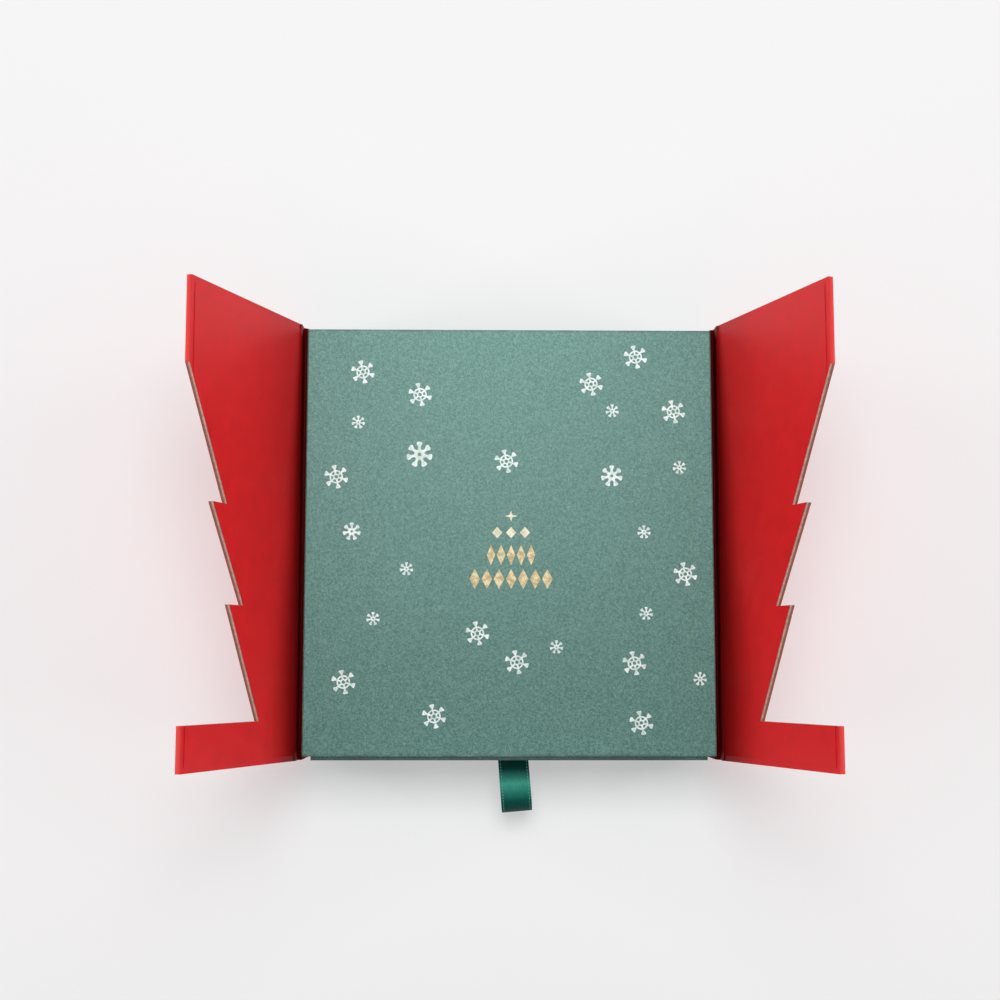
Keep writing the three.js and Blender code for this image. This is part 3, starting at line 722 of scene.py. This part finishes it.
arm_number = node(foil_tree, "GeometryNodeInputIndex")
full_turn = worked(foil_tree, "DIVIDE", math.tau, foil_in["Arms"])
arm_turn = node(foil_tree, "ShaderNodeCombineXYZ", {"Z": scaled(foil_tree, arm_number.outputs[0], full_turn)})
one_arm = joined(foil_tree, arm, head)
all_arms = repeated(foil_tree, arm_spots.outputs[0], one_arm, Rotation=arm_turn.outputs[0])
flake = joined(foil_tree, all_arms,
               ring(foil_tree, foil_in["Hub radius"], foil_in["Hub width"], 2),
               ring(foil_tree, foil_in["Eye radius"], foil_in["Eye width"], 3))
flake_turn = node(foil_tree, "ShaderNodeCombineXYZ", {
    "Z": node(foil_tree, "GeometryNodeInputNamedAttribute", {"Name": "turn"}, data_type="FLOAT").outputs[0]})
flake_size = node(foil_tree, "GeometryNodeInputNamedAttribute", {"Name": "size_share"}, data_type="FLOAT")
size_on_paper = node(foil_tree, "ShaderNodeCombineXYZ", {
    "X": flake_size.outputs[0], "Y": flake_size.outputs[0], "Z": 1.0})
flakes = repeated(foil_tree, foil_in["Geometry"], flake,
                  Rotation=flake_turn.outputs[0], Scale=size_on_paper.outputs[0])


def press(tree, inputs, flat):
    """Ends a tree with the flat foil's instances made real and given their thickness, as closed solids."""
    real = node(tree, "GeometryNodeRealizeInstances", {"Geometry": flat}).outputs[0]
    raised = node(tree, "GeometryNodeExtrudeMesh", {
        "Mesh": real, "Offset Scale": inputs["Foil thickness"], "Individual": False}, mode="FACES")
    underside = node(tree, "GeometryNodeFlipFaces", {"Mesh": real})
    closed = node(tree, "GeometryNodeMergeByDistance", {
        "Geometry": joined(tree, raised.outputs[0], underside.outputs[0]), "Distance": foil_join})
    finish_tree(tree, inputs, closed.outputs[0])


press(foil_tree, foil_in, flakes)


def press_flakes(name, places, turn, values):
    """Presses one stamp's snowflakes, at places of x and y in millimetres and a share of the stamp's size."""
    seed = bpy.data.meshes.new(f"{name}_places")
    seed.from_pydata([(x * MM, y * MM, green_face - foil_sunk) for x, y, _ in places], [], [])
    turns = seed.attributes.new("turn", "FLOAT", "POINT")
    sizes = seed.attributes.new("size_share", "FLOAT", "POINT")
    for index, place in enumerate(places):
        turns.data[index].value = math.radians(turn)
        sizes.data[index].value = place[2]
    piece = grow(name, seed, foil_tree, {**values, "Foil thickness": foil_thickness, "Material": silver})
    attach(piece, "case")


press_flakes("snowflakes_six_arms", [
    (-72.5, 83.1, 1), (-44.2, 71.9, 1), (-1.6, 38.8, 1), (-85.0, 30.9, 1), (62.4, 91.1, 1),
    (40.3, 77.4, 1), (80.9, 63.7, 1), (-15.6, -45.5, 1), (3.5, -59.4, 1), (-80.3, -69.0, 1),
    (-36.5, -85.4, 1), (85.8, -16.6, 1), (60.5, -59.9, 1), (63.6, -88.5, 1)], 12, {
        "Arms": 6, "Reach": 5.8 * MM, "Arm width": 0.85 * MM, "Arm start": 1.0 * MM,
        "Head depth": 2.1 * MM, "Head width": 3.2 * MM, "Head opening share": 0.06,
        "Hub radius": 3.3 * MM, "Hub width": 0.75 * MM, "Eye radius": 1.5 * MM, "Eye width": 0.65 * MM})
press_flakes("snowflakes_seven_arms", [(-44.3, 42.0, 1.2), (50.2, 31.6, 1), (-77.1, 4.0, 0.82)], 0, {
    "Arms": 7, "Reach": 5.3 * MM, "Arm width": 1.15 * MM, "Arm start": 0.9 * MM,
    "Head depth": 2.1 * MM, "Head width": 3.4 * MM, "Head opening share": 0.06,
    "Hub radius": 2.2 * MM, "Hub width": 1.2 * MM, "Eye radius": 1.05 * MM, "Eye width": 0.3 * MM})
press_flakes("snowflakes_small", [
    (-74.5, 58.0, 1), (50.7, 64.0, 1), (83.6, 35.9, 1), (-66.3, -38.5, 1), (22.7, -52.1, 1),
    (66.5, -35.8, 1), (92.3, -67.4, 1), (65.8, 4.0, 1), (-50.3, -14.2, 1)], 0, {
        "Arms": 7, "Reach": 3.25 * MM, "Arm width": 0.6 * MM, "Arm start": 0.35 * MM,
        "Head depth": 1.5 * MM, "Head width": 1.95 * MM, "Head opening share": 0.05,
        "Hub radius": 1.2 * MM, "Hub width": 0.5 * MM, "Eye radius": 0.6 * MM, "Eye width": 0.2 * MM})

# Ornament: gold foil at the middle of the green face, a small star over rows of lozenges that
# widen downwards like a tree. Each row is one stamp, repeated along it.
gold = foil("gold_foil", (0.46, 0.36, 0.18), (0.86, 0.76, 0.48))
pale_gold = foil("pale_gold_foil", (0.62, 0.58, 0.42), (0.90, 0.89, 0.72))
row_tree, row_in = new_tree(
    "lozenge_row", ("Spacing", "Lozenge width", "Lozenge height", "Foil thickness"), ("Lozenges",))
half_height = scaled(row_tree, row_in["Lozenge height"], 0.5)
lozenge_outline = node(row_tree, "GeometryNodeCurvePrimitiveQuadrilateral", {
    "Width": row_in["Lozenge width"], "Bottom Height": half_height, "Top Height": half_height}, mode="KITE")
row_step = node(row_tree, "ShaderNodeCombineXYZ", {"X": row_in["Spacing"]})
row_half = scaled(row_tree, subtract(row_tree, row_in["Lozenges"], 1.0), -0.5)
row_start = node(row_tree, "ShaderNodeCombineXYZ", {"X": scaled(row_tree, row_in["Spacing"], row_half)})
row_spots = node(row_tree, "GeometryNodeMeshLine", {
    "Count": row_in["Lozenges"], "Start Location": row_start.outputs[0], "Offset": row_step.outputs[0]})
lozenge_row = repeated(row_tree, row_spots.outputs[0], filled(row_tree, lozenge_outline.outputs[0]))
press(row_tree, row_in, repeated(row_tree, row_in["Geometry"], lozenge_row))

ornament_middle = 0.7 * MM
for row_name, row_place, lozenges, spacing, width, height, layer, metal in (
        ("star_upright", 11.7, 1, 0, 1.7, 5.6, 0, pale_gold),
        ("star_level", 11.7, 1, 0, 6.6, 1.5, 1, pale_gold),
        ("upper_row", 3.6, 3, 6.8, 5.0, 5.6, 0, pale_gold),
        ("middle_row", -7.4, 5, 4.9, 4.1, 10.2, 0, gold),
        ("lower_row", -19.1, 7, 5.9, 5.1, 9.8, 0, gold)):
    row_seed = bpy.data.meshes.new(f"ornament_{row_name}_place")
    row_up = green_face - foil_sunk + layer * foil_layer
    row_seed.from_pydata([(ornament_middle, row_place * MM, row_up)], [], [])
    ornament_row = grow(f"ornament_{row_name}", row_seed, row_tree, {
        "Lozenges": lozenges, "Spacing": spacing * MM, "Lozenge width": width * MM,
        "Lozenge height": height * MM, "Foil thickness": foil_thickness, "Material": metal})
    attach(ornament_row, "case")

bpy.context.view_layer.update()
